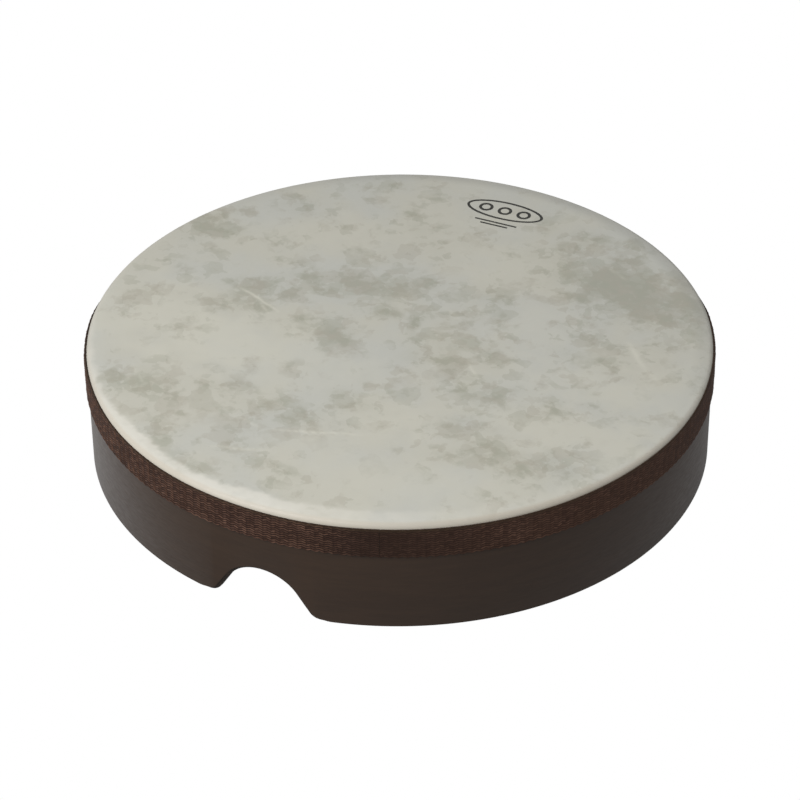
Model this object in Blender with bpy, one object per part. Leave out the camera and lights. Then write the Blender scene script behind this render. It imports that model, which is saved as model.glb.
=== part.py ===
"""A fixed-head hand frame drum of the 12 inch class, in metres, +Z up.

The drum stands on the open rim of its shell. The origin is the centre of that rim, the head is the
top plane, and the finger notch opens through the rim at -Y.

From the inside out: a moulded wood-fibre shell between a thin inner lining and an outer covering, a
bead of glue on its rounded bearing edge, the film head with its formed collar and skirt, and a woven
tape that binds the skirt. Neighbouring pieces keep a small gap, which stands for their glue line.
"""

from math import cos, pi, radians, sin, tan

import bmesh
import bpy

# Driving dimensions
SHELL_RADIUS = 0.1524  # outer face of the covering: a 12 inch shell
DEPTH = 0.060  # open rim to playing face
GLUE_LINE = 0.0003  # gap that neighbouring pieces keep

COVERING = 0.0005  # wall of the outer covering
SHELL_WALL = 0.0048  # wall of the moulded fibre shell
LINING = 0.0005  # wall of the inner lining
RIM_SETBACK = 0.0008  # the covering and the lining stop this far above the open rim
RIM_CHAMFER = 0.0007
COVERING_DROP = 0.0014  # from the shoulder's centre down to the covering's upper edge
LINING_DROP = 0.0006  # from the shell's top down to the lining's upper edge

FILM = 0.00025  # the head's laminated film
SHOULDER_RADIUS = 0.0031  # outer radius of the film where it turns over the bearing edge
SKIRT_LENGTH = 0.0130  # straight part of the skirt, all of it behind the tape

TAPE_WIDTH = 0.0158
TAPE_THICKNESS = 0.0007
TAPE_DROP = 0.0032  # playing face to the tape's upper edge

GLUE_THICKNESS = 0.0005
GLUE_LAP = 0.0008  # how far the bead is squeezed in past the lining

NOTCH_HEIGHT = 0.0220
NOTCH_CROWN_RADIUS = 0.0207
NOTCH_FLANK = radians(57)  # slope of the straight flanks
NOTCH_FOOT_RADIUS = 0.0069
NOTCH_OVERCUT = 0.004  # how far the cutter passes the faces it cuts

# Seams, as directions round the axis from +X
TAPE_SEAM = radians(-68.5)
COVERING_SEAM = radians(90)
LINING_SEAM = radians(78)
SEAM_GAP = 0.0004

TURN_STEPS = 96
SHOULDER_STEPS = 4
CROWN_STEPS = 12
FOOT_STEPS = 5
SHARP_ANGLE = radians(35)
WELD_DISTANCE = 1e-6

# Radii and heights that follow from them
COVERING_INNER = SHELL_RADIUS - COVERING
CORE_OUTER = COVERING_INNER - GLUE_LINE
CORE_INNER = CORE_OUTER - SHELL_WALL
LINING_OUTER = CORE_INNER - GLUE_LINE
LINING_INNER = LINING_OUTER - LINING
SKIRT_INNER = SHELL_RADIUS + GLUE_LINE
SKIRT_OUTER = SKIRT_INNER + FILM
TAPE_INNER = SKIRT_OUTER + GLUE_LINE
SHOULDER_CENTRE = SKIRT_OUTER - SHOULDER_RADIUS
SHOULDER_HEIGHT = DEPTH - SHOULDER_RADIUS
CORE_SHOULDER = CORE_OUTER - SHOULDER_CENTRE
CORE_TOP = SHOULDER_HEIGHT + CORE_SHOULDER


def clear_scene():
    for item in list(bpy.data.objects):
        bpy.data.objects.remove(item, do_unlink=True)


def material(name, colour, roughness, coat=0.0):
    made = bpy.data.materials.new(name)
    made.use_nodes = True
    made.diffuse_color = (*colour, 1.0)
    shader = made.node_tree.nodes["Principled BSDF"]
    shader.inputs["Base Color"].default_value = (*colour, 1.0)
    shader.inputs["Roughness"].default_value = roughness
    shader.inputs["Metallic"].default_value = 0.0
    shader.inputs["Coat Weight"].default_value = coat
    return made


def add_object(name, shape, finish):
    """A shaded, linked object from a finished bmesh, which is freed."""
    mesh = bpy.data.meshes.new(name)
    shape.to_mesh(mesh)
    shape.free()
    mesh.shade_smooth()
    mesh.set_sharp_from_angle(angle=SHARP_ANGLE)
    mesh.materials.append(finish)
    made = bpy.data.objects.new(name, mesh)
    bpy.context.scene.collection.objects.link(made)
    return made


def turned(profile, seam=None):
    """Spins a (radius, height) outline round Z. An outline that starts on the axis ends on it too, and
    any other is closed. With a seam direction the piece is a strip, whose ends face each other there
    across SEAM_GAP; with none it is a whole ring."""
    gap = 0.0 if seam is None else SEAM_GAP / SHELL_RADIUS
    start = gap / 2 + (seam or 0.0)
    shape = bmesh.new()
    aim = (cos(start), sin(start))
    outline = [shape.verts.new((radius * aim[0], radius * aim[1], height)) for radius, height in profile]
    following = outline[1:] if profile[0][0] == 0.0 else outline[1:] + outline[:1]
    edges = [shape.edges.new(pair) for pair in zip(outline, following)]
    bmesh.ops.spin(
        shape,
        geom=outline + edges,
        cent=(0, 0, 0),
        axis=(0, 0, 1),
        angle=2 * pi - gap,
        steps=TURN_STEPS,
        use_merge=seam is None,
    )
    bmesh.ops.remove_doubles(shape, verts=shape.verts, dist=WELD_DISTANCE)
    if seam is not None:
        open_edges = [edge for edge in shape.edges if edge.is_boundary]
        bmesh.ops.holes_fill(shape, edges=open_edges, sides=0)
    bmesh.ops.recalc_face_normals(shape, faces=shape.faces)
    return shape


def shoulder(radius):
    """(radius, height) points of a quarter circle over the bearing edge, from the wall to the top."""
    points = []
    for step in range(SHOULDER_STEPS + 1):
        angle = pi / 2 * step / SHOULDER_STEPS
        points.append((SHOULDER_CENTRE + radius * cos(angle), SHOULDER_HEIGHT + radius * sin(angle)))
    return points


def notch_outline():
    """(sideways, height) points of the finger notch: a round crown, straight flanks and rounded feet.
    Each foot stops one step short of level, so that it ends in a small step and not a feather edge."""
    crown_centre = NOTCH_HEIGHT - NOTCH_CROWN_RADIUS
    flank_top = NOTCH_CROWN_RADIUS * sin(NOTCH_FLANK)
    flank_top_height = crown_centre + NOTCH_CROWN_RADIUS * cos(NOTCH_FLANK)
    corner = flank_top + flank_top_height / tan(NOTCH_FLANK)
    foot = corner + NOTCH_FOOT_RADIUS * tan(NOTCH_FLANK / 2)
    right = []
    for step in range(CROWN_STEPS + 1):
        angle = NOTCH_FLANK * step / CROWN_STEPS
        right.append((NOTCH_CROWN_RADIUS * sin(angle), crown_centre + NOTCH_CROWN_RADIUS * cos(angle)))
    for step in range(FOOT_STEPS):
        angle = NOTCH_FLANK * (1 - step / FOOT_STEPS)
        right.append((foot - NOTCH_FOOT_RADIUS * sin(angle), NOTCH_FOOT_RADIUS * (1 - cos(angle))))
    right.append((right[-1][0], -NOTCH_OVERCUT))
    left = [(-side, height) for side, height in reversed(right[1:])]
    return left + right


def notch_cutter():
    """The notch's void: its outline laid on a cylinder outside the shell and on one inside it, joined
    along radii, so that the cut faces are square to the wall."""
    outline = notch_outline()
    shape = bmesh.new()
    loops = []
    for radius in (SHELL_RADIUS + NOTCH_OVERCUT, LINING_INNER - NOTCH_OVERCUT):
        ring = []
        for side, height in outline:
            angle = side / SHELL_RADIUS
            ring.append(shape.verts.new((radius * sin(angle), -radius * cos(angle), height)))
        loops.append([shape.edges.new(pair) for pair in zip(ring, ring[1:] + ring[:1])])
    bmesh.ops.bridge_loops(shape, edges=loops[0] + loops[1])
    for loop in loops:
        bmesh.ops.triangle_fill(shape, use_beauty=True, edges=loop)
    bmesh.ops.recalc_face_normals(shape, faces=shape.faces)
    cutter = add_object("notch_cutter", shape, material("cutter", (0.8, 0.1, 0.1), 0.5))
    cutter.hide_render = True
    cutter.display_type = "WIRE"
    return cutter


def cut_notch(piece, cutter):
    cut = piece.modifiers.new("finger notch", "BOOLEAN")
    cut.operation = "DIFFERENCE"
    cut.solver = "EXACT"
    cut.object = cutter


def build_shell(cutter):
    """The load-bearing hoop: chamfered at the open rim, rounded at the bearing edge."""
    profile = [
        (CORE_INNER, RIM_CHAMFER),
        (CORE_INNER + RIM_CHAMFER, 0.0),
        (CORE_OUTER - RIM_CHAMFER, 0.0),
        (CORE_OUTER, RIM_CHAMFER),
        *shoulder(CORE_SHOULDER),
        (CORE_INNER, CORE_TOP),
    ]
    fibre = material("shell_fibre", (0.055, 0.032, 0.022), 0.6)
    cut_notch(add_object("shell", turned(profile), fibre), cutter)


def band(inner, outer, bottom, top):
    """The outline of a plain flat-edged band."""
    return [(inner, bottom), (outer, bottom), (outer, top), (inner, top)]


def build_outer_covering(cutter):
    profile = band(COVERING_INNER, SHELL_RADIUS, RIM_SETBACK, SHOULDER_HEIGHT - COVERING_DROP)
    satin = material("satin_covering", (0.045, 0.029, 0.023), 0.38, coat=0.15)
    cut_notch(add_object("outer_covering", turned(profile, COVERING_SEAM), satin), cutter)


def build_inner_lining(cutter):
    profile = band(LINING_INNER, LINING_OUTER, RIM_SETBACK, CORE_TOP - LINING_DROP)
    paper = material("lining_paper", (0.060, 0.038, 0.027), 0.75)
    cut_notch(add_object("inner_lining", turned(profile, LINING_SEAM), paper), cutter)


def build_bearing_edge_glue():
    """The bead between the film and the bearing edge, squeezed in a little past the lining."""
    under_radius = CORE_SHOULDER + GLUE_LINE
    over_radius = under_radius + GLUE_THICKNESS
    lap = LINING_INNER - GLUE_LAP
    profile = [
        *shoulder(over_radius),
        (lap, SHOULDER_HEIGHT + over_radius),
        (lap, SHOULDER_HEIGHT + under_radius),
        *reversed(shoulder(under_radius)),
    ]
    glue = material("white_glue", (0.75, 0.73, 0.66), 0.45)
    add_object("bearing_edge_glue", turned(profile), glue)


def build_drumhead():
    """The film: playing face, shoulder over the bearing edge, and a straight skirt down the shell."""
    skirt_bottom = SHOULDER_HEIGHT - SKIRT_LENGTH
    profile = [
        (0.0, DEPTH),
        *reversed(shoulder(SHOULDER_RADIUS)),
        (SKIRT_OUTER, skirt_bottom),
        (SKIRT_INNER, skirt_bottom),
        *shoulder(SHOULDER_RADIUS - FILM),
        (0.0, DEPTH - FILM),
    ]
    film = material("drumhead_film", (0.50, 0.49, 0.42), 0.42)
    add_object("drumhead", turned(profile), film)


def build_binding_tape():
    top = DEPTH - TAPE_DROP
    profile = band(TAPE_INNER, TAPE_INNER + TAPE_THICKNESS, top - TAPE_WIDTH, top)
    woven = material("woven_tape", (0.050, 0.024, 0.016), 0.85)
    add_object("binding_tape", turned(profile, TAPE_SEAM), woven)


def main():
    clear_scene()
    cutter = notch_cutter()
    build_shell(cutter)
    build_outer_covering(cutter)
    build_inner_lining(cutter)
    build_bearing_edge_glue()
    build_drumhead()
    build_binding_tape()


main()
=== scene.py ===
"""Looks for a fixed-head hand frame drum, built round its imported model, in metres.

The film head is one shaped skin with a mottled skin look, the binding tape is a woven strip with its
threads in relief, and the shell is a moulded core between a satin covering and a paper lining. Angles
round the drum are measured from the finger notch, at -Y, towards +X.
"""

from math import cos, pi, radians, sin, tan

import bpy
import numpy as np
from mathutils import Matrix, Vector


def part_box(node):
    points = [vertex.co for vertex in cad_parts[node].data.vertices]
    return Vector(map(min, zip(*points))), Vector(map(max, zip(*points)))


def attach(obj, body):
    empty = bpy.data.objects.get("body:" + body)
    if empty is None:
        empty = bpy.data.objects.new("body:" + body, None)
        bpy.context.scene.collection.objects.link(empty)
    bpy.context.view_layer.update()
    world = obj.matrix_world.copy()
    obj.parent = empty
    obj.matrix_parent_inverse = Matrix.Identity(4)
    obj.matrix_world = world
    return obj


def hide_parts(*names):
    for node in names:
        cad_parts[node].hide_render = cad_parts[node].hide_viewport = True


MM = 0.001

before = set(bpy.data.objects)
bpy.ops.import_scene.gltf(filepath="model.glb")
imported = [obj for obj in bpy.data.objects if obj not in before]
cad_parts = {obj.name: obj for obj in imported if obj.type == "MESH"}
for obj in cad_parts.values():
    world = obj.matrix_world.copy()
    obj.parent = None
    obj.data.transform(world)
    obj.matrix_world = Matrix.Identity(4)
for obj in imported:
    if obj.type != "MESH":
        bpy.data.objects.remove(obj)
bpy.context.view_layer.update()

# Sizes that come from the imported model
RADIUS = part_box("outer_covering")[1][0]
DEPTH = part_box("drumhead")[1][2]
SKIRT_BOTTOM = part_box("drumhead")[0][2]
TAPE_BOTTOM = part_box("binding_tape")[0][2]
TAPE_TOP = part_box("binding_tape")[1][2]
CORE_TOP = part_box("shell")[1][2]
COVERING_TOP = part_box("outer_covering")[1][2]
LINING_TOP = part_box("inner_lining")[1][2]
LINING_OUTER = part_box("inner_lining")[1][0]

# The notch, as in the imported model
NOTCH_HEIGHT = 22.0 * MM
NOTCH_CROWN_RADIUS = 20.7 * MM
NOTCH_FLANK = radians(57)
NOTCH_FOOT_RADIUS = 6.9 * MM

# Walls, and the small gaps that keep touching pieces apart
SKIN = 0.5 * MM
CLEARANCE = 0.02 * MM
CORE_INNER = LINING_OUTER + CLEARANCE
CORE_OUTER = RADIUS - SKIN - CLEARANCE
LINING_INNER = LINING_OUTER - SKIN
WRAP_SEAM_GAP = 0.25 * MM

# The film and its collar, and the rings of points that its face is made of
FILM = 0.25 * MM
FILM_OUTER = RADIUS + 0.08 * MM + FILM
SHOULDER_RADIUS = 3.0 * MM
COLLAR_START = 141.5 * MM
COLLAR_DROP = 0.42 * MM
SHOULDER_CENTRE = FILM_OUTER - SHOULDER_RADIUS
SHOULDER_HEIGHT = DEPTH - COLLAR_DROP - SHOULDER_RADIUS
TURNS = 720
FACE_RINGS = 92
FACE_RING_STEP = 1.5 * MM
COLLAR_RINGS = 14
COLLAR_RINGS_START = 139.2 * MM

# The face's faint unevenness, which dies out between two radii
WAVE_DEPTH = 0.03 * MM
LONG_WAVE = 34 * MM
SHORT_WAVE = 15 * MM
WAVES_END = (135 * MM, 146 * MM)

# The pleats where the film was drawn over the edge
PLEAT_HEIGHT = 0.08 * MM
PLEAT_WIDTH = 0.7 * MM
PLEATS_BY_NOTCH = radians(16) + np.array([-0.045, 0.085, 0.21, -0.17])
OTHER_PLEATS = 26

# The tape. Its weave is set out in columns along it and threads across it: COLUMN_PROFILE is the relief
# along a pair of columns, and THREAD_PROFILE the relief across one thread. Its rises and its drop are
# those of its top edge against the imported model's. TAPE_BACK is how many points cross its back.
TAPE_INNER = FILM_OUTER + 0.05 * MM
TAPE_BASE = 0.5 * MM
THREAD_RELIEF = 0.45 * MM
TAPE_SEAM = radians(21.5)
TAPE_SEAM_GAP = 0.12 * MM
TAPE_COLUMNS = 460
TAPE_THREADS = 12
COLUMN_PROFILE = (0.66, 0.9, 1.0, 0.95, 0.8, 0.95, 1.0, 0.9)
THREAD_PROFILE = (0.0, 0.66, 1.0, 0.62)
ZIGZAG = 0.34 * MM
TAPE_LOW_SIDE = radians(25)
TAPE_NEAR_RISE = 0.1 * MM
TAPE_MIDDLE_RISE = 0.5 * MM
TAPE_HIGH_RISE = 1.2 * MM
TAPE_FAR_DROP = 1.4 * MM
TAPE_BACK = 5

# How far the shell's edges are rounded over: on the rim, how much more in the notch, and at the top
RIM_ROUND = 0.8 * MM
NOTCH_EXTRA_ROUND = 1.0 * MM
TOP_ROUND = 1.7 * MM

# Points along half of the shell's lower edge: the notch's crown, its flank, its foot and the plain rim
CROWN_POINTS = 28
FLANK_POINTS = 8
FOOT_POINTS = 14
RIM_POINTS = 300

SHARP_ANGLE = radians(40)


# ---------------------------------------------------------------- mesh helpers


def grid_faces(rows, columns, close_rows=False, close_columns=False):
    """Quads over vertices stored row by row, as an array."""
    row = np.arange(rows if close_rows else rows - 1)[:, None]
    column = np.arange(columns if close_columns else columns - 1)[None, :]
    below, beside = (row + 1) % rows, (column + 1) % columns
    row, below = row * columns, below * columns
    return np.stack([row + column, row + beside, below + beside, below + column], axis=-1).reshape(-1, 4)


def add_piece(name, points, faces, replaces):
    """A mesh as a piece of the drum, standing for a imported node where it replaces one."""
    mesh = bpy.data.meshes.new(name)
    mesh.from_pydata(np.asarray(points, float).tolist(), [], [tuple(int(i) for i in face) for face in faces])
    mesh.validate()
    mesh.shade_smooth()
    mesh.set_sharp_from_angle(angle=SHARP_ANGLE)
    piece = bpy.data.objects.new(name, mesh)
    bpy.context.scene.collection.objects.link(piece)
    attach(piece, "root")
    if replaces:
        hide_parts(replaces)
    return piece


def set_attribute(piece, name, values):
    layer = piece.data.attributes.new(name, "FLOAT", "POINT")
    layer.data.foreach_set("value", np.asarray(values, np.float32))


def around(radius, angle, height):
    """Points at angles from the notch, with x, y and z in the last axis."""
    radius, angle, height = np.broadcast_arrays(radius, angle, height)
    return np.stack([radius * np.sin(angle), -radius * np.cos(angle), height], axis=-1)


def band_piece(name, sections, replaces, whole):
    """A ring, or a strip with closed ends, from points [place along it, place round its section]."""
    count, size, _ = sections.shape
    faces = grid_faces(count, size, close_rows=whole, close_columns=True)[:, ::-1].tolist()
    if not whole:
        faces.append(list(range(size)))
        faces.append([(count - 1) * size + i for i in reversed(range(size))])
    return add_piece(name, sections.reshape(-1, 3), faces, replaces)


def smooth_step(low, high, value):
    """0 at low and 1 at high, easing in and out between them."""
    t = np.clip((value - low) / (high - low), 0, 1)
    return t * t * (3 - 2 * t)


def plateau(side, rise, top, fall, foot):
    """1 where side, in radians, is between top and fall, easing from 0 at rise and to 0 at foot. The
    last four are in degrees."""
    side = np.degrees(side)
    return smooth_step(rise, top, side) * (1 - smooth_step(fall, foot, side))


def value_noise(x, y, seed):
    """Smooth noise from -1 to 1 on a unit lattice, the same on each run."""
    table = np.random.default_rng(seed).uniform(-1, 1, (256, 256))
    column, row = np.floor(x).astype(int), np.floor(y).astype(int)
    across, up = smooth_step(0, 1, x - column), smooth_step(0, 1, y - row)

    def corner(i, j):
        return table[(column + i) % 256, (row + j) % 256]

    low = corner(0, 0) * (1 - across) + corner(1, 0) * across
    high = corner(0, 1) * (1 - across) + corner(1, 1) * across
    return low * (1 - up) + high * up


# ---------------------------------------------------------------- node helpers


def new_material(name):
    made = bpy.data.materials.new(name)
    made.use_nodes = True
    tree = made.node_tree
    return made, tree, tree.nodes["Principled BSDF"]


def node(tree, kind, inputs=None, **settings):
    """A node whose settings and inputs are set; an input that is a socket is linked."""
    made = tree.nodes.new(kind)
    for key, value in settings.items():
        setattr(made, key, value)
    for key, value in (inputs or {}).items():
        if isinstance(value, bpy.types.NodeSocket):
            tree.links.new(value, made.inputs[key])
        else:
            made.inputs[key].default_value = value
    return made


def maths(tree, operation, first, second):
    return node(tree, "ShaderNodeMath", {0: first, 1: second}, operation=operation).outputs[0]


def times(tree, value, factor):
    return maths(tree, "MULTIPLY", value, factor)


def vector_maths(tree, operation, inputs, output="Vector"):
    return node(tree, "ShaderNodeVectorMath", inputs, operation=operation).outputs[output]


def attribute(tree, name):
    return node(tree, "ShaderNodeAttribute", attribute_name=name).outputs["Fac"]


def place(tree):
    return node(tree, "ShaderNodeTexCoord").outputs["Object"]


def noise_value(tree, at, size, detail=3.0, roughness=0.5, distortion=0.0):
    """Noise from 0 to 1 whose features are about size metres across."""
    inputs = {"Vector": at, "Scale": 1 / size, "Detail": detail, "Roughness": roughness}
    inputs["Distortion"] = distortion
    return node(tree, "ShaderNodeTexNoise", inputs).outputs["Fac"]


def ramp(tree, value, low, high, to_low=0.0, to_high=1.0):
    """value from low..high eased to to_low..to_high."""
    inputs = {"Value": value, "From Min": low, "From Max": high, "To Min": to_low, "To Max": to_high}
    return node(tree, "ShaderNodeMapRange", inputs, interpolation_type="SMOOTHSTEP").outputs["Result"]


def mix(tree, amount, first, second):
    """The first colour taken to the second by amount, from 0 to 1."""
    made = tree.nodes.new("ShaderNodeMix")
    made.data_type = "RGBA"
    for socket, value in ((0, amount), (6, first), (7, second)):
        if isinstance(value, bpy.types.NodeSocket):
            tree.links.new(value, made.inputs[socket])
        else:
            made.inputs[socket].default_value = value
    return made.outputs[2]


def tint(tree, under, mask, share, colour):
    """The colour under, taken towards another by share where the mask is 1."""
    return mix(tree, times(tree, mask, share), under, colour)


def srgb(*screen):
    """A linear colour from the red, green and blue of a screen colour, each from 0 to 255."""
    shares = [value / 255 for value in screen]
    return (*(share / 12.92 if share <= 0.04 else ((share + 0.055) / 1.055) ** 2.4 for share in shares), 1.0)


def bump(tree, height, distance, strength=1.0, under=None):
    inputs = {"Height": height, "Distance": distance, "Strength": strength}
    if under is not None:
        inputs["Normal"] = under
    return node(tree, "ShaderNodeBump", inputs).outputs["Normal"]


# ---------------------------------------------------------------- the head

# Dark stains of the skin look: x, y, half length, half width in mm, turn in degrees, strength
STAINS = (
    (82, 82, 23, 13, -4, 1.0), (102, 68, 12, 9, 0, 0.9), (118, 82, 11, 9, -30, 0.95),
    (92, 94, 12, 6, -20, 0.7), (112, 96, 12, 9, -40, 0.6), (57, 118, 9, 7, 0, 0.85),
    (50, 106, 6, 6, 0, 0.6), (76, 120, 7, 5, -20, 0.45), (30, 116, 5, 8, 30, 0.4),
    (74, 104, 8, 4, -30, 0.35), (-27, 32, 14, 9, 25, 0.8), (-10, 42, 11, 5, 15, 0.7),
    (-62, 26, 9, 6, 0, 0.65), (-48, 20, 10, 4, 0, 0.6), (-82, 11, 8, 6, 20, 0.6), (-85, -5, 9, 7, 0, 0.7),
    (-72, -10, 6, 4, -20, 0.45), (-63, 11, 5, 4, 0, 0.65), (-29, -14, 9, 6, -25, 0.8),
    (-45, -10, 11, 3, -10, 0.35), (-16, 12, 7, 7, 20, 0.65), (4, 10, 5, 7, 0, 0.75), (9, 1, 6, 4, 0, 0.6),
    (12, 24, 8, 4, 20, 0.55), (22, 28, 5, 4, 0, 0.55), (21, 15, 7, 4, 20, 0.5), (24, 7, 5, 4, 0, 0.5),
    (36, 8, 6, 4, -20, 0.5), (40, 32, 5, 6, 0, 0.4), (28, 43, 6, 8, 0, 0.35), (29, -13, 10, 6, 10, 0.7),
    (44, -23, 8, 5, 0, 0.65), (51, -3, 7, 6, 0, 0.45), (59, -28, 8, 8, 0, 0.7), (49, -33, 8, 4, 0, 0.55),
    (68, -33, 5, 4, 0, 0.5), (63, -43, 5, 4, 0, 0.4), (56, -61, 5, 5, 0, 0.4), (-3, -60, 8, 6, 0, 0.55),
    (10, -42, 9, 4, 20, 0.4), (-28, -80, 8, 5, -10, 0.55), (-13, -86, 7, 6, 0, 0.65),
    (-66, -76, 7, 5, 0, 0.55), (-47, -73, 10, 4, 0, 0.45), (-109, -90, 6, 6, 0, 0.7),
    (-90, -89, 10, 8, 0, 0.55), (-82, -100, 8, 4, -20, 0.35), (-31, -95, 6, 3, 0, 0.4),
    (-14, -122, 15, 5, -5, 0.5), (0, -128, 8, 5, 0, 0.4), (-42, -137, 16, 5, -8, 0.45),
    (-66, -104, 5, 4, 0, 0.35), (80, -72, 12, 6, -15, 0.55), (97, -78, 8, 6, 0, 0.65),
    (107, -66, 8, 7, 0, 0.6), (117, -73, 6, 4, 0, 0.5), (92, -28, 9, 5, -15, 0.5),
    (109, -20, 5, 3, 0, 0.45), (84, 34, 8, 5, 0, 0.5), (102, 30, 7, 4, 0, 0.45), (105, 18, 6, 5, 0, 0.5),
    (119, 37, 7, 5, 0, 0.35), (130, 46, 6, 5, 0, 0.35), (-42, 102, 6, 4, 0, 0.65),
    (-28, 92, 9, 6, 30, 0.35), (-21, 82, 5, 4, 0, 0.35), (-132, 58, 9, 8, 60, 0.85),
    (-124, 48, 7, 6, 0, 0.65), (-118, 71, 5, 5, 0, 0.55), (-92, 48, 5, 4, 0, 0.45),
    (-114, 28, 8, 5, 0, 0.3), (-98, 96, 12, 7, 40, 0.3), (-60, 125, 20, 5, 20, 0.3),
    (-30, 60, 12, 5, 20, 0.2), (-128, -20, 8, 10, 0, 0.2),
)  # fmt: skip

# Light clouds of the skin look, in the same form
CLOUDS = (
    (-80, -42, 62, 20, -4, 1.0), (108, -4, 44, 16, 10, 0.7), (60, -110, 60, 18, 20, 0.6),
    (30, -70, 26, 14, 30, 0.6), (-70, 70, 40, 14, 20, 0.45), (20, 75, 30, 14, 0, 0.4),
    (60, 30, 18, 20, 0, 0.45), (-120, -10, 25, 10, 0, 0.4), (-30, -40, 40, 12, 0, 0.5),
    (-10, 108, 20, 8, 0, 0.3), (70, 0, 18, 10, 0, 0.4), (20, -105, 40, 12, 10, 0.4),
    (98, -46, 50, 13, -8, 0.75), (134, -48, 11, 34, -20, 0.75), (140, 0, 10, 30, 0, 0.4),
)  # fmt: skip

# Pale creases: start and end x, y in mm, half width in mm, strength
CREASES = (
    (-20, -98, 20, -84, 0.7, 0.8), (-40, -121, -14, -113, 0.8, 0.6), (-89, 5, -63, -8, 0.9, 0.9),
    (-76, -2, -66, -12, 0.7, 0.6), (105, 38, 120, 20, 1.5, 0.7), (120, 20, 131, 12, 1.0, 0.4),
    (40, -8, 50, -20, 0.8, 0.5), (-104, -78, -92, -90, 0.8, 0.4), (-45, -92, -26, -100, 0.7, 0.4),
    (10, 30, 22, 22, 0.7, 0.4), (70, 96, 84, 90, 0.8, 0.35),
)  # fmt: skip

# The pale border round the film, where the glue ring shows through, made stronger where the key light falls
# as painted light: angle from the notch in degrees, width in mm, strength
GLUE_BORDER_AND_PAINTED_LIGHT = (
    (-100, 2.5, 0.1), (-75, 2.5, 0.15), (-60, 3.2, 0.5), (-50, 3.8, 0.85), (-40, 5.0, 1.0),
    (-30, 6.4, 1.05), (-20, 4.8, 0.75), (-10, 6.0, 0.95), (0, 8.0, 0.9), (10, 9.0, 0.65), (20, 8.5, 0.42),
    (32, 8.0, 0.25), (50, 6.0, 0.14), (90, 4.0, 0.1), (180, 3.0, 0.1),
)  # fmt: skip


def soft_ellipses(x, y, ellipses, spread=1.0):
    """The strongest of a set of soft-edged ellipses at each point, all in mm."""
    total = np.zeros_like(x)
    for centre_x, centre_y, length, width, turn, strength in ellipses:
        c, s = cos(radians(turn)), sin(radians(turn))
        along = ((x - centre_x) * c + (y - centre_y) * s) / (length * spread)
        across = ((y - centre_y) * c - (x - centre_x) * s) / (width * spread)
        total = np.maximum(total, strength * np.exp(-0.75 * (along**2 + across**2) ** 1.3))
    return total


def crease_lines(x, y):
    """The strongest of the creases at each point, fading at their ends, all in mm."""
    total = np.zeros_like(x)
    for x0, y0, x1, y1, width, strength in CREASES:
        run = np.array([x1 - x0, y1 - y0], float)
        t = np.clip(((x - x0) * run[0] + (y - y0) * run[1]) / (run @ run), 0, 1)
        away = np.hypot(x - x0 - t * run[0], y - y0 - t * run[1])
        fade = np.sqrt(np.sin(pi * np.clip(t, 0.04, 0.96)))
        total = np.maximum(total, strength * np.exp(-((away / width) ** 2)) * fade)
    return total


def head_height(x, y):
    """The playing face: level, with a faint unevenness, and easing down towards its collar."""
    radius = np.hypot(x, y)
    collar = np.clip((radius - COLLAR_START) / (SHOULDER_CENTRE - COLLAR_START), 0, None)
    waves = 0.5 * value_noise(x / LONG_WAVE + 40, y / LONG_WAVE + 40, 3)
    waves += 0.2 * value_noise(x / SHORT_WAVE + 9, y / SHORT_WAVE + 9, 4)
    return DEPTH - COLLAR_DROP * collar**2 - WAVE_DEPTH * (1 + waves) * (1 - smooth_step(*WAVES_END, radius))


def face_ring(radius, angle, below=0.0):
    """A ring of the playing face, or of the film's underside below it."""
    x, y = radius * np.sin(angle), -radius * np.cos(angle)
    return np.stack([x, y, head_height(x, y) - below], axis=-1)


def shoulder_ring(bend_radius, turn, angle):
    """A ring of the rounded shoulder, from its level inner edge, at turn 0, to its upright outer one."""
    return around(SHOULDER_CENTRE + bend_radius * sin(turn), angle, SHOULDER_HEIGHT + bend_radius * cos(turn))


def film_rings(angle):
    """The film's rings as two lists: out over its face and shoulder and down its skirt, and back inside."""
    face = np.arange(1, FACE_RINGS + 1) * FACE_RING_STEP
    collar = np.linspace(COLLAR_RINGS_START, SHOULDER_CENTRE, COLLAR_RINGS)
    collar_slope = 2 * COLLAR_DROP / (SHOULDER_CENTRE - COLLAR_START)
    shoulder = np.linspace(collar_slope, pi / 2, 9)[1:]
    skirt = np.linspace(SHOULDER_HEIGHT - 1.5 * MM, SKIRT_BOTTOM, 4)
    outside = [face_ring(radius, angle) for radius in (*face, *collar)]
    outside += [shoulder_ring(SHOULDER_RADIUS, turn, angle) for turn in shoulder]
    outside += [around(FILM_OUTER, angle, height) for height in skirt]

    inside = [around(FILM_OUTER - FILM, angle, height) for height in (SKIRT_BOTTOM, SHOULDER_HEIGHT)]
    inside += [shoulder_ring(SHOULDER_RADIUS - FILM, turn, angle) for turn in np.linspace(pi / 2, 0, 6)[1:]]
    underside = (145, 138, *range(132, 0, -12))
    inside += [face_ring(radius * MM, angle, FILM) for radius in underside]
    return outside, inside


def pleat_lift(points):
    """How far the points of the film's outside are lifted by its pleats, down to just below the top of
    the tape."""
    radius = np.hypot(points[:, 0], points[:, 1])
    angle = np.arctan2(points[:, 0], -points[:, 1])
    lift = np.zeros(len(points))
    rng = np.random.default_rng(11)
    for pleat in np.concatenate([PLEATS_BY_NOTCH, rng.uniform(-pi, pi, OTHER_PLEATS)]):
        away = np.angle(np.exp(1j * (angle - pleat))) * RADIUS
        ridge = np.exp(-((away / PLEAT_WIDTH) ** 2))
        reach = rng.uniform(3, 6) * MM
        lift += rng.uniform(0.4, 1.0) * ridge * smooth_step(RADIUS - reach, RADIUS - 1 * MM, radius)
    return PLEAT_HEIGHT * lift * (points[:, 2] > TAPE_TOP - 1 * MM)


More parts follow.
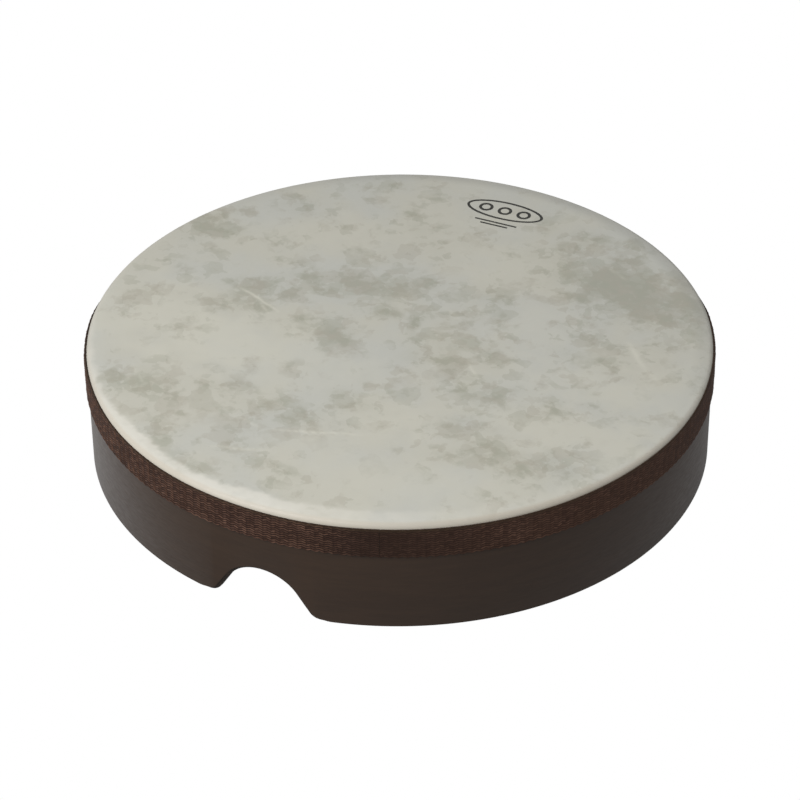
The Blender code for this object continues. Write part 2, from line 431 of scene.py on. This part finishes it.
def paint_stains(head, x, y):
    """Where the skin look is dark, light and creased, from places in mm."""
    warp_x = 3.5 * value_noise(x / 9 + 31, y / 9 + 17, 21) + 1.6 * value_noise(x / 4 + 5, y / 4 + 77, 22)
    warp_y = 3.5 * value_noise(x / 9 + 64, y / 9 + 52, 23) + 1.6 * value_noise(x / 4 + 93, y / 4 + 11, 24)
    set_attribute(head, "stain", soft_ellipses(x + warp_x, y + warp_y, STAINS))
    broad_stains = [(*stain[:3], max(stain[3], 5), *stain[4:]) for stain in STAINS]
    set_attribute(head, "halo", soft_ellipses(x + 2 * warp_x, y + 2 * warp_y, broad_stains, spread=2.1))
    set_attribute(head, "cloud", soft_ellipses(x + 3 * warp_x, y + 3 * warp_y, CLOUDS))
    set_attribute(head, "crease", crease_lines(x + 0.25 * warp_x, y + 0.25 * warp_y))


def paint_edge(head, x, y, radius, angle):
    """The film's pale border, brighter in part from painted light, its far edge in painted shade, and its
    shoulder's warm tone with painted shade where the key light falls; x and y are in mm.
    """
    # The glue ring shows through as a pale border; its extra brightness to the left of the notch, where the
    # key light falls, is painted light
    turned, border_width, border_and_painted_light_strength = np.array(GLUE_BORDER_AND_PAINTED_LIGHT).T
    ragged = value_noise(angle * 14 + 50, angle * 0 + 3, 31)
    ragged += 0.9 * value_noise(angle * 45 + 90, angle * 0 + 8, 32)
    ragged += 0.7 * value_noise(x / 1.6 + 20, y / 1.6 + 45, 33)
    width = (np.interp(np.degrees(angle), turned, border_width, period=360) + ragged) * MM
    edge = smooth_step(-2.0 * MM, 1.4 * MM, radius - (RADIUS - width))
    mottle = 1 + 0.22 * value_noise(x / 5 + 71, y / 5 + 38, 34)
    mottle += 0.14 * value_noise(x / 2 + 15, y / 2 + 83, 35)
    strength = np.interp(np.degrees(angle), turned, border_and_painted_light_strength, period=360)
    set_attribute(head, "glue_border_and_painted_light", np.clip(edge * strength * mottle, 0, 1))
    # At the far side the film's edge is painted grey, painted shade for the collar sloping away from the
    # light
    painted_rear_shade = smooth_step(0.2, 0.9, np.cos(angle - radians(165)))
    set_attribute(head, "painted_rear_shade", painted_rear_shade * smooth_step(RADIUS - 11 * MM, RADIUS - 0.5 * MM, radius))
    # The shoulder takes a warmer, darker tone from glue and tape fibres. That tone is painted heaviest where
    # the key light falls and lightest where the shoulder is in shade, so painted shade and painted light even
    # out its lighting
    painted_shade_towards_key = 0.1 + 0.9 * smooth_step(-0.2, 0.7, np.cos(angle - radians(15)))
    set_attribute(head, "shoulder", painted_shade_towards_key * smooth_step(RADIUS - 2.4 * MM, RADIUS - 0.8 * MM, radius))


def build_drumhead():
    outside, inside = film_rings(np.arange(TURNS) * 2 * pi / TURNS)
    rings = outside + inside
    middle = DEPTH - WAVE_DEPTH
    points = np.concatenate([np.array(rings).reshape(-1, 3), [[0, 0, middle], [0, 0, middle - FILM]]])
    faces = grid_faces(len(rings), TURNS, close_columns=True)[:, ::-1].tolist()
    top, under = len(points) - 2, len(points) - 1
    last = (len(rings) - 1) * TURNS
    for column in range(TURNS):
        beside = (column + 1) % TURNS
        faces.append([top, column, beside])
        faces.append([under, last + beside, last + column])

    outer_points = points[: len(outside) * TURNS]
    outer_points[:, 2] += pleat_lift(outer_points)
    head = add_piece("drumhead_skin", points, faces, "drumhead")
    x, y = points[:, 0], points[:, 1]
    paint_stains(head, x / MM, y / MM)
    paint_edge(head, x / MM, y / MM, np.hypot(x, y), np.arctan2(x, -y))
    return head


# The layers of the stains' torn facets: size, strength, and the level of stain at which they start
FACETS = ((12 * MM, 0.21, 0.43), (6.5 * MM, 0.24, 0.48), (3.6 * MM, 0.17, 0.5))


def facet_layer(tree, at, field, size, start):
    """How much each facet of a layer shows, and its colour. The facets are the cells of a warped pattern,
    each as dark as its place and its own chance make it."""
    inputs = {"Vector": at, "Scale": 1 / size, "Detail": 2.5, "Roughness": 0.55}
    wobble = node(tree, "ShaderNodeTexNoise", inputs).outputs["Color"]
    shift = vector_maths(tree, "SUBTRACT", {0: wobble, 1: (0.5, 0.5, 0.5)})
    shift = vector_maths(tree, "SCALE", {0: shift, "Scale": 1.5 * size})
    warped = vector_maths(tree, "ADD", {0: at, 1: shift})
    inputs = {"Vector": warped, "Scale": 1 / size, "Smoothness": 0.12}
    cells = node(tree, "ShaderNodeTexVoronoi", inputs, feature="SMOOTH_F1").outputs["Color"]
    chance = node(tree, "ShaderNodeSeparateColor", {"Color": cells}).outputs
    level = maths(tree, "ADD", field, times(tree, maths(tree, "SUBTRACT", chance[0], 0.5), 1.1))
    dark = mix(tree, ramp(tree, chance[1], 0.3, 0.7), srgb(142, 143, 125), srgb(153, 146, 130))
    return ramp(tree, level, start, start + 0.3), dark


def film_material():
    made, tree, shader = new_material("mottled_film")
    at = place(tree)
    fine = noise_value(tree, at, 3.0 * MM, detail=5, roughness=0.6)
    broad = noise_value(tree, at, 22 * MM, detail=4, roughness=0.55, distortion=0.6)
    tone = noise_value(tree, at, 55 * MM, detail=3, roughness=0.5)

    colour = mix(tree, ramp(tree, tone, 0.38, 0.62), srgb(187, 187, 179), srgb(190, 188, 176))
    colour = tint(tree, colour, attribute(tree, "cloud"), 0.75, srgb(199, 197, 184))
    colour = tint(tree, colour, ramp(tree, fine, 0.5, 0.75), 0.2, srgb(200, 199, 192))

    # How stained each place is, then a soft stain there under the facets
    stain, halo = attribute(tree, "stain"), attribute(tree, "halo")
    field = maths(tree, "ADD", times(tree, stain, 0.62), times(tree, halo, 0.42))
    field = maths(tree, "ADD", field, times(tree, ramp(tree, broad, 0.4, 0.7), 0.32))
    field = maths(tree, "ADD", field, times(tree, maths(tree, "SUBTRACT", fine, 0.5), 0.4))
    colour = tint(tree, colour, ramp(tree, field, 0.1, 0.8), 0.2, srgb(160, 160, 143))
    for size, strength, start in FACETS:
        facet, dark = facet_layer(tree, at, field, size, start)
        colour = tint(tree, colour, facet, strength, dark)

    colour = tint(tree, colour, attribute(tree, "crease"), 0.7, srgb(212, 210, 197))
    # Painted shade along the far edge of the film
    colour = tint(tree, colour, attribute(tree, "painted_rear_shade"), 0.6, srgb(160, 160, 154))
    # The glue border, with painted light on the key-light side
    colour = tint(tree, colour, attribute(tree, "glue_border_and_painted_light"), 0.76, srgb(216, 213, 203))
    # The shoulder's warm tone, with painted shade where the key light falls
    colour = tint(tree, colour, attribute(tree, "shoulder"), 0.62, srgb(182, 173, 158))

    tree.links.new(colour, shader.inputs["Base Color"])
    tree.links.new(ramp(tree, fine, 0.3, 0.7, 0.42, 0.52), shader.inputs["Roughness"])
    shader.inputs["Specular IOR Level"].default_value = 0.35
    grain = noise_value(tree, at, 0.7 * MM, detail=3, roughness=0.6)
    normal = bump(tree, grain, 0.02 * MM, 0.5)
    normal = bump(tree, fine, 0.06 * MM, 0.3, normal)
    tree.links.new(normal, shader.inputs["Normal"])
    return made


# ---------------------------------------------------------------- the tape


def tape_top(angle):
    """The height of the tape's top edge: low towards TAPE_LOW_SIDE, high at the two sides of that, and
    lowest at the far side."""
    facing = np.cos(angle - TAPE_LOW_SIDE)
    rise = TAPE_NEAR_RISE + TAPE_MIDDLE_RISE * smooth_step(0.98, 0.6, facing)
    rise += TAPE_HIGH_RISE * smooth_step(0.6, 0.15, facing)
    near = smooth_step(-0.35, -0.02, facing)
    return TAPE_TOP + rise * near - TAPE_FAR_DROP * (1 - near)


def on_tape(angle, height, out):
    """Places on the tape, out from the film, at heights that carry on round the film's shoulder."""
    turn = np.maximum(height - SHOULDER_HEIGHT, 0) / (SHOULDER_RADIUS + 0.3 * MM)
    reach = TAPE_INNER - SHOULDER_CENTRE + out + 0.1 * MM * np.minimum(turn, 1)
    upright = np.minimum(height, SHOULDER_HEIGHT)
    return around(SHOULDER_CENTRE + reach * np.cos(turn), angle, upright + reach * np.sin(turn))


def build_tape():
    """A herringbone strip: its threads climb in one column and fall in the next."""
    per_column, per_thread = len(COLUMN_PROFILE) // 2, len(THREAD_PROFILE)
    places = TAPE_COLUMNS * per_column + 1
    rows = TAPE_THREADS * per_thread + 1
    gap = TAPE_SEAM_GAP / TAPE_INNER
    angle = TAPE_SEAM + gap / 2 + np.linspace(0, 2 * pi - gap, places)
    side = np.angle(np.exp(1j * angle))
    rng = np.random.default_rng(5)

    step, row = np.arange(places), np.arange(rows)
    column, thread = step // per_column, row // per_thread
    in_column = (step % per_column) / per_column
    zigzag = np.where(column % 2 == 0, in_column, 1 - in_column) * 2 - 1
    column_relief = np.array(COLUMN_PROFILE)[step % len(COLUMN_PROFILE)]
    thread_relief = np.array(THREAD_PROFILE)[row % per_thread]
    lift = rng.uniform(0.5, 1.0, (TAPE_COLUMNS + 1, TAPE_THREADS + 1))[column][:, thread]
    relief = column_relief[:, None] * thread_relief[None, :] * lift
    # Its threads are pressed flatter past the seam, to the right of the notch
    flat = 0.45 * plateau(side, 12, 24, 100, 130)
    relief += flat[:, None] * (0.5 - relief)

    wander = 0.2 * MM * value_noise(angle * RADIUS / (45 * MM) + 30, angle * 0 + 6, 41)
    top = tape_top(angle) + wander
    length = top - TAPE_BOTTOM - 2 * ZIGZAG
    along = TAPE_BOTTOM + ZIGZAG + length[:, None] * row / (rows - 1)
    along += (ZIGZAG * zigzag + wander)[:, None]
    along[:, -1] = top - 0.1 * MM

    swell = 0.05 * MM * value_noise(angle[:, None] * RADIUS / (9 * MM) + 50, along / (6 * MM) + 60, 42)
    face = on_tape(angle[:, None], along, TAPE_BASE + THREAD_RELIEF * relief + swell)
    back = SHOULDER_HEIGHT + (along[:, -1:] - SHOULDER_HEIGHT) * np.linspace(1, 0, TAPE_BACK - 1)
    back = np.concatenate([back, along[:, :1]], axis=1)
    sections = np.concatenate([face, on_tape(angle[:, None], back, 0 * back)], axis=1)
    tape = band_piece("bound_tape", sections[:, ::-1], "binding_tape", whole=False)

    def set_on_tape(name, values, behind=0.0):
        blank = np.full((places, TAPE_BACK), behind)
        set_attribute(tape, name, np.concatenate([values, blank], axis=1)[:, ::-1].ravel())

    set_on_tape("thread", relief, behind=0.5)
    column_tone = rng.uniform(0, 1, (TAPE_COLUMNS + 1, 1))[column]
    thread_tone = rng.uniform(0, 1, (TAPE_COLUMNS + 1, TAPE_THREADS + 1))[column][:, thread]
    set_on_tape("tone", 0.25 * column_tone + 0.75 * thread_tone)
    # Painted shade makes it darker just past the seam, where the key light falls off, and painted light makes
    # it a little lighter further round
    set_on_tape("painted_shade_past_seam", np.repeat(plateau(side, 8, 19, 24, 45)[:, None], rows, axis=1))
    set_on_tape("painted_light_further_round", np.repeat(plateau(side, 32, 60, 74, 100)[:, None], rows, axis=1))
    set_on_tape("top_edge", smooth_step(-2.2 * MM, -0.4 * MM, along - top[:, None]))
    return tape


def tape_material():
    made, tree, shader = new_material("herringbone_weave")
    at = place(tree)
    fuzz = noise_value(tree, at, 0.35 * MM, detail=3, roughness=0.7)
    patch = noise_value(tree, at, 14 * MM, detail=2)
    body = mix(tree, attribute(tree, "tone"), srgb(62, 41, 32), srgb(104, 77, 63))
    body = tint(tree, body, ramp(tree, fuzz, 0.35, 0.75), 0.4, srgb(110, 85, 74))
    body = tint(tree, body, ramp(tree, patch, 0.4, 0.65), 0.3, srgb(70, 50, 38))
    # The low places between the threads are painted darker, painted shade in the gaps of the weave
    colour = mix(tree, ramp(tree, attribute(tree, "thread"), 0.1, 0.75), srgb(38, 23, 17), body)
    # Painted shade on the tape just past its seam
    colour = tint(tree, colour, attribute(tree, "painted_shade_past_seam"), 0.63, srgb(38, 25, 19))
    # Painted light on the tape further round from its seam
    colour = tint(tree, colour, attribute(tree, "painted_light_further_round"), 0.12, srgb(106, 78, 63))
    colour = tint(tree, colour, attribute(tree, "top_edge"), 0.5, srgb(58, 47, 34))
    tree.links.new(colour, shader.inputs["Base Color"])
    shader.inputs["Roughness"].default_value = 0.85
    shader.inputs["Specular IOR Level"].default_value = 0.12
    shader.inputs["Sheen Weight"].default_value = 0.04
    shader.inputs["Sheen Roughness"].default_value = 0.5
    tree.links.new(bump(tree, fuzz, 0.12 * MM, 0.6), shader.inputs["Normal"])
    return made


# ---------------------------------------------------------------- the shell


def rim_curve():
    """The shell's lower edge laid flat: places along it from the notch's middle, heights, the direction
    into the material at each place, and how far the place belongs to the notch, from 0 to 1."""
    centre = NOTCH_HEIGHT - NOTCH_CROWN_RADIUS
    flank_side = NOTCH_CROWN_RADIUS * sin(NOTCH_FLANK)
    flank_height = centre + NOTCH_CROWN_RADIUS * cos(NOTCH_FLANK)
    corner = flank_side + flank_height / tan(NOTCH_FLANK)
    foot = corner + NOTCH_FOOT_RADIUS * tan(NOTCH_FLANK / 2)
    side, height, tilt = [], [], []
    for turn in np.linspace(0, NOTCH_FLANK, CROWN_POINTS):
        side.append(NOTCH_CROWN_RADIUS * sin(turn))
        height.append(centre + NOTCH_CROWN_RADIUS * cos(turn))
        tilt.append(turn)
    foot_top = (foot - NOTCH_FOOT_RADIUS * sin(NOTCH_FLANK), NOTCH_FOOT_RADIUS * (1 - cos(NOTCH_FLANK)))
    for share in np.linspace(0, 1, FLANK_POINTS)[1:-1]:
        side.append(flank_side + share * (foot_top[0] - flank_side))
        height.append(flank_height + share * (foot_top[1] - flank_height))
        tilt.append(NOTCH_FLANK)
    for turn in np.linspace(NOTCH_FLANK, 0, FOOT_POINTS):
        side.append(foot - NOTCH_FOOT_RADIUS * sin(turn))
        height.append(NOTCH_FOOT_RADIUS * (1 - cos(turn)))
        tilt.append(turn)
    for place_along in np.linspace(foot, pi * RADIUS, RIM_POINTS)[1:]:
        side.append(place_along)
        height.append(0.0)
        tilt.append(0.0)
    side, height, tilt = np.array(side), np.array(height), np.array(tilt)
    notch = 1 - smooth_step(foot - 2 * MM, foot + 5 * MM, side)
    side = np.concatenate([-side[:0:-1], side])
    height = np.concatenate([height[:0:-1], height])
    into_side = np.concatenate([-np.sin(tilt[:0:-1]), np.sin(tilt)])
    into_height = np.concatenate([np.cos(tilt[:0:-1]), np.cos(tilt)])
    notch = np.concatenate([notch[:0:-1], notch])
    return side, height, into_side, into_height, notch


def wall_sections(lower, upper):
    """Sections of a wall that follows the shell's lower edge. lower is a list of (distance into the
    material, radius) pairs or arrays, from outside to inside; upper is (radius, height) pairs that close
    the section, from inside to outside."""
    side, height, into_side, into_height, _ = rim_curve()
    columns = []
    for inset, radius in lower:
        columns.append(around(radius, (side + into_side * inset) / RADIUS, height + into_height * inset))
    first_inset, last_inset = lower[0][0], lower[-1][0]
    count = len(upper)
    for number, (radius, top) in enumerate(upper):
        inset = last_inset if number < count / 2 else first_inset
        columns.append(around(radius, (side + into_side * inset) / RADIUS, top))
    return np.stack(columns, axis=1)


def with_seam(sections):
    """The sections of a whole wall as a strip whose two ends leave a hairline between them, at +Y."""
    share = WRAP_SEAM_GAP / 2 / np.linalg.norm(sections[1, 0] - sections[0, 0])
    strip = sections.copy()
    strip[0] += share * (sections[1] - sections[0])
    strip[-1] += share * (sections[-2] - sections[-1])
    return strip


def edge_round(notch):
    """How far the shell's edges are rounded over where a place belongs so far to the notch."""
    return RIM_ROUND + NOTCH_EXTRA_ROUND * notch


def build_shell_core():
    rounding = edge_round(rim_curve()[4])
    lower = []
    for turn in np.linspace(0, pi / 2, 7):
        lower.append((rounding * (1 - sin(turn)), CORE_OUTER - rounding * (1 - cos(turn))))
    for turn in np.linspace(pi / 2, 0, 7):
        lower.append((rounding * (1 - sin(turn)), CORE_INNER + rounding * (1 - cos(turn))))
    chamfer = 0.4 * MM
    upper = [(CORE_INNER, CORE_TOP - chamfer), (CORE_INNER + chamfer, CORE_TOP)]
    for turn in np.linspace(0, pi / 2, 5):
        upper.append((CORE_OUTER - TOP_ROUND * (1 - sin(turn)), CORE_TOP - TOP_ROUND * (1 - cos(turn))))
    sections = wall_sections(lower, upper)
    return band_piece("shell_core", sections[:-1], "shell", whole=True)


def build_covering():
    start = edge_round(rim_curve()[4]) - 0.2 * MM
    ease = 0.2 * MM
    lower = [
        (start + ease, RADIUS),
        (start + 0.3 * ease, RADIUS - 0.3 * ease),
        (start, RADIUS - ease),
        (start, RADIUS - SKIN),
    ]
    upper = [(RADIUS - SKIN, COVERING_TOP), (RADIUS, COVERING_TOP)]
    sections = wall_sections(lower, upper)
    return band_piece("satin_wrap", with_seam(sections), "outer_covering", whole=False)


def build_lining():
    start = edge_round(rim_curve()[4]) - 0.1 * MM
    ease = 0.15 * MM
    lower = [
        (start, LINING_OUTER),
        (start, LINING_INNER + ease),
        (start + ease, LINING_INNER),
    ]
    upper = [(LINING_INNER, LINING_TOP), (LINING_OUTER, LINING_TOP)]
    sections = wall_sections(lower, upper)
    return band_piece("paper_liner", with_seam(sections), "inner_lining", whole=False)


def build_glue():
    """The squeezed-out bead in the corner under the film, uneven as a hand-run bead is."""
    angle = np.arange(TURNS) * 2 * pi / TURNS
    swell = 1 + 0.35 * value_noise(angle * 22 + 7, angle * 0 + 4, 51)
    swell += 0.2 * value_noise(angle * 70 + 7, angle * 0 + 9, 52)
    reach = 0.9 * MM * swell
    top = DEPTH - FILM - 0.35 * MM
    outer = CORE_INNER + 2.2 * MM
    crown = CORE_TOP + 0.05 * MM
    columns = [
        around(outer, angle, top),
        around(LINING_INNER - reach, angle, top),
        around(LINING_INNER - 0.9 * reach, angle, top - 0.35 * reach),
        around(LINING_INNER - 0.4 * reach, angle, top - 0.75 * reach),
        around(LINING_INNER - CLEARANCE, angle, crown),
        around(outer, angle, crown),
    ]
    sections = np.stack(columns, axis=1)[:, ::-1]
    return band_piece("glue_bead", sections, "bearing_edge_glue", whole=True)


def covering_material():
    made, tree, shader = new_material("satin_dark_brown")
    at = place(tree)
    stretch = node(tree, "ShaderNodeMapping", {"Vector": at, "Scale": (1.0, 1.0, 9.0)}).outputs[0]
    streak = noise_value(tree, stretch, 26 * MM, detail=5, roughness=0.6)
    fine = noise_value(tree, stretch, 5 * MM, detail=4, roughness=0.6)
    speck = noise_value(tree, at, 1.2 * MM, detail=2, roughness=0.5)
    colour = mix(tree, ramp(tree, streak, 0.35, 0.68), srgb(56, 42, 32), srgb(60, 45, 34))
    colour = tint(tree, colour, ramp(tree, fine, 0.45, 0.7), 0.13, srgb(46, 34, 27))
    tree.links.new(colour, shader.inputs["Base Color"])
    tree.links.new(ramp(tree, fine, 0.3, 0.7, 0.36, 0.46), shader.inputs["Roughness"])
    shader.inputs["Specular IOR Level"].default_value = 0.3
    tree.links.new(bump(tree, speck, 0.01 * MM, 0.4), shader.inputs["Normal"])
    return made


def fibre_material():
    made, tree, shader = new_material("moulded_fibre")
    at = place(tree)
    chips = noise_value(tree, at, 2.4 * MM, detail=5, roughness=0.7)
    pores = noise_value(tree, at, 0.6 * MM, detail=3, roughness=0.6)
    colour = mix(tree, ramp(tree, chips, 0.38, 0.66), srgb(34, 28, 24), srgb(58, 46, 38))
    tree.links.new(colour, shader.inputs["Base Color"])
    shader.inputs["Roughness"].default_value = 0.62
    shader.inputs["Specular IOR Level"].default_value = 0.25
    normal = bump(tree, pores, 0.05 * MM, 0.5)
    tree.links.new(bump(tree, chips, 0.12 * MM, 0.35, normal), shader.inputs["Normal"])
    return made


def lining_material():
    made, tree, shader = new_material("brown_lining_paper")
    at = place(tree)
    pulp = noise_value(tree, at, 1.6 * MM, detail=5, roughness=0.7)
    shade = noise_value(tree, at, 40 * MM, detail=3)
    colour = mix(tree, ramp(tree, shade, 0.35, 0.65), srgb(74, 54, 42), srgb(92, 68, 52))
    colour = tint(tree, colour, ramp(tree, pulp, 0.4, 0.7), 0.4, srgb(58, 42, 33))
    tree.links.new(colour, shader.inputs["Base Color"])
    shader.inputs["Roughness"].default_value = 0.8
    shader.inputs["Specular IOR Level"].default_value = 0.2
    tree.links.new(bump(tree, pulp, 0.06 * MM, 0.5), shader.inputs["Normal"])
    return made


def glue_material():
    made, tree, shader = new_material("dried_white_glue")
    at = place(tree)
    cloudy = noise_value(tree, at, 5 * MM, detail=3)
    colour = mix(tree, ramp(tree, cloudy, 0.35, 0.65), srgb(214, 208, 190), srgb(234, 230, 216))
    tree.links.new(colour, shader.inputs["Base Color"])
    shader.inputs["Roughness"].default_value = 0.38
    tree.links.new(bump(tree, cloudy, 0.1 * MM, 0.3), shader.inputs["Normal"])
    return made


# ---------------------------------------------------------------- the printed mark

MARK_CENTRE = (2 * MM, 125 * MM)
INK_OVER_FILM = 0.03 * MM
INK_START = 0.005 * MM
MARK_RING = (21 * MM, 8.5 * MM)
MARK_RING_STROKE = 1.4 * MM
SMALL_RING = 3.8 * MM
SMALL_RING_STROKE = 1.6 * MM
SMALL_RING_GAP = 10.5 * MM
BAR_STROKE = 1.2 * MM
# Each bar's half length, and its place below the mark's centre
BARS = ((11.5 * MM, 12.2 * MM), (7.5 * MM, 14.8 * MM))


def thick_outline(loop, width):
    """An outline of that width as quads: the loop and the loop drawn in, as (points, faces)."""
    loop = np.array(loop)
    before, after = np.roll(loop, 1, axis=0), np.roll(loop, -1, axis=0)
    run = after - before
    inward = np.stack([-run[:, 1], run[:, 0]], axis=1) / np.linalg.norm(run, axis=1)[:, None]
    count = len(loop)
    faces = [(i, (i + 1) % count, count + (i + 1) % count, count + i) for i in range(count)]
    return np.concatenate([loop, loop + inward * width]), faces


def oval(half_length, half_height, steps=72):
    turn = np.arange(steps) * 2 * pi / steps
    return np.stack([half_length * np.cos(turn), half_height * np.sin(turn)], axis=1)


def build_mark():
    """A plain printed emblem: an oval ring round a row of three small rings, over two short bars."""
    points, faces = [], []

    def add(shape, offset=(0, 0)):
        new_points, new_faces = shape
        start = sum(len(p) for p in points)
        points.append(new_points + np.array(offset))
        faces.extend(tuple(start + i for i in face) for face in new_faces)

    add(thick_outline(oval(*MARK_RING), MARK_RING_STROKE))
    for across in (-SMALL_RING_GAP, 0, SMALL_RING_GAP):
        add(thick_outline(oval(SMALL_RING, SMALL_RING, 40), SMALL_RING_STROKE), (across, 0))
    for half, below in BARS:
        along = np.linspace(-half, half, 13)
        bar = np.array([(x, y) for y in (-BAR_STROKE / 2, BAR_STROKE / 2) for x in along])
        add((bar, grid_faces(2, len(along)).tolist()), (0, -below))

    flat = np.concatenate(points) + np.array(MARK_CENTRE)
    ground = head_height(flat[:, 0], flat[:, 1])
    count = len(flat)
    upper = np.column_stack([flat, ground + INK_OVER_FILM])
    lower = np.column_stack([flat, ground + INK_START])
    edges = dict.fromkeys(pair for face in faces for pair in zip(face, face[1:] + face[:1]))
    walls = [(b, a, a + count, b + count) for a, b in edges if (b, a) not in edges]
    undersides = [tuple(i + count for i in reversed(face)) for face in faces]
    solid = faces + undersides + walls
    return add_piece("printed_mark", np.concatenate([upper, lower]), solid, None)


def ink_material():
    made, tree, shader = new_material("dark_ink")
    at = place(tree)
    wear = noise_value(tree, at, 1.0 * MM, detail=3)
    colour = mix(tree, ramp(tree, wear, 0.35, 0.7), srgb(38, 38, 36), srgb(66, 65, 60))
    tree.links.new(colour, shader.inputs["Base Color"])
    shader.inputs["Roughness"].default_value = 0.55
    return made


# ---------------------------------------------------------------- the studio

# The camera's direction from the drum, its roll, its distance, how far it is moved up and sideways, and
# its lens in mm
VIEW_AZIMUTH = radians(25.2)
VIEW_ELEVATION = radians(35.14)
VIEW_ROLL = radians(-0.5)
VIEW_DISTANCE = 1.5246
VIEW_RISE = 0.01644
VIEW_SIDE = -0.0001
LENS = 137.66

# How bright the surroundings are between the soft boxes
AMBIENT = 0.345

# Lights: azimuth from the camera's own and elevation in degrees, distance and size in metres, power in watts
KEY_LIGHT = (-48, 40, 1.2, 0.8, 12.7)
FILL_LIGHT = (100, 50, 1.3, 0.8, 2.4)

BLACK = (0, 0, 0, 1)
WHITE = (1, 1, 1, 1)
FLOOR_HALF = 30
FLOOR_DROP = 0.05 * MM


def build_camera():
    turned = Matrix.Rotation(VIEW_AZIMUTH, 3, "Z")
    forward = turned @ Vector((0, cos(VIEW_ELEVATION), -sin(VIEW_ELEVATION)))
    right = turned @ Vector((1, 0, 0))
    up = right.cross(forward)
    where = -VIEW_DISTANCE * forward + VIEW_SIDE * right + VIEW_RISE * up
    rolled_right = cos(VIEW_ROLL) * right + sin(VIEW_ROLL) * up
    rolled_up = -sin(VIEW_ROLL) * right + cos(VIEW_ROLL) * up
    data = bpy.data.cameras.new("camera")
    data.lens = LENS
    data.sensor_width = 36
    camera = bpy.data.objects.new("camera", data)
    axes = Matrix((rolled_right, rolled_up, -forward)).transposed()
    camera.matrix_world = Matrix.Translation(where) @ axes.to_4x4()
    bpy.context.scene.collection.objects.link(camera)
    bpy.context.scene.camera = camera


def towards(azimuth, elevation):
    """A direction out from the drum, by its azimuth from the camera's own and its elevation, in degrees."""
    turn, rise = VIEW_AZIMUTH + radians(azimuth), radians(elevation)
    return Vector((sin(turn) * cos(rise), -cos(turn) * cos(rise), sin(rise)))


# Soft boxes round the drum, as smooth bright areas of the surroundings: azimuth from the camera's own
# and elevation in degrees, sharpness, strength
SOFT_BOXES = (
    (-140, -25, 6, 0.51),
    (95, -10, 6, 0.07),
    (0, -20, 4, 0.15),
)


def build_surroundings():
    """Bright areas for the drum to be lit by and to reflect, behind a plain white background."""
    world = bpy.data.worlds.new("studio")
    world.use_nodes = True
    tree = world.node_tree
    background = tree.nodes["Background"]
    direction = node(tree, "ShaderNodeTexCoord").outputs["Generated"]
    light = AMBIENT
    for azimuth, elevation, sharpness, strength in SOFT_BOXES:
        axis = towards(azimuth, elevation)
        facing = vector_maths(tree, "DOT_PRODUCT", {0: direction, 1: axis}, output="Value")
        facing = maths(tree, "MAXIMUM", facing, 0.0)
        box = times(tree, maths(tree, "POWER", facing, float(sharpness)), strength)
        light = maths(tree, "ADD", box, light)
    seen = node(tree, "ShaderNodeLightPath").outputs["Is Camera Ray"]
    tree.links.new(mix(tree, seen, light, WHITE), background.inputs["Color"])
    bpy.context.scene.world = world


def add_light(name, azimuth, elevation, distance, size, power):
    """A square soft light aimed at the middle of the head."""
    direction = towards(azimuth, elevation)
    data = bpy.data.lights.new(name, "AREA")
    data.size = size
    data.energy = power
    light = bpy.data.objects.new(name, data)
    light.location = direction * distance + Vector((0, 0, DEPTH))
    light.rotation_euler = direction.to_track_quat("Z", "Y").to_euler()
    bpy.context.scene.collection.objects.link(light)


def build_floor():
    """A white floor that neither lights the drum nor shows in it."""
    mesh = bpy.data.meshes.new("floor")
    corners = [(x * FLOOR_HALF, y * FLOOR_HALF, 0) for x, y in ((-1, -1), (1, -1), (1, 1), (-1, 1))]
    mesh.from_pydata(corners, [], [(0, 1, 2, 3)])
    floor = bpy.data.objects.new("floor", mesh)
    floor.location.z = -FLOOR_DROP
    floor.visible_diffuse = False
    floor.visible_glossy = False
    bpy.context.scene.collection.objects.link(floor)
    made, _, shader = new_material("white_floor")
    shader.inputs["Base Color"].default_value = BLACK
    shader.inputs["Roughness"].default_value = 1.0
    shader.inputs["Specular IOR Level"].default_value = 0.0
    shader.inputs["Emission Color"].default_value = WHITE
    shader.inputs["Emission Strength"].default_value = 1.0
    floor.data.materials.append(made)


def build_studio():
    bpy.context.scene.view_settings.view_transform = "Standard"
    build_surroundings()
    add_light("key", *KEY_LIGHT)
    add_light("fill", *FILL_LIGHT)
    build_floor()


def main():
    build_camera()
    build_studio()
    head = build_drumhead()
    head.data.materials.append(film_material())
    tape = build_tape()
    tape.data.materials.append(tape_material())
    build_shell_core().data.materials.append(fibre_material())
    build_covering().data.materials.append(covering_material())
    build_lining().data.materials.append(lining_material())
    build_glue().data.materials.append(glue_material())
    build_mark().data.materials.append(ink_material())


main()
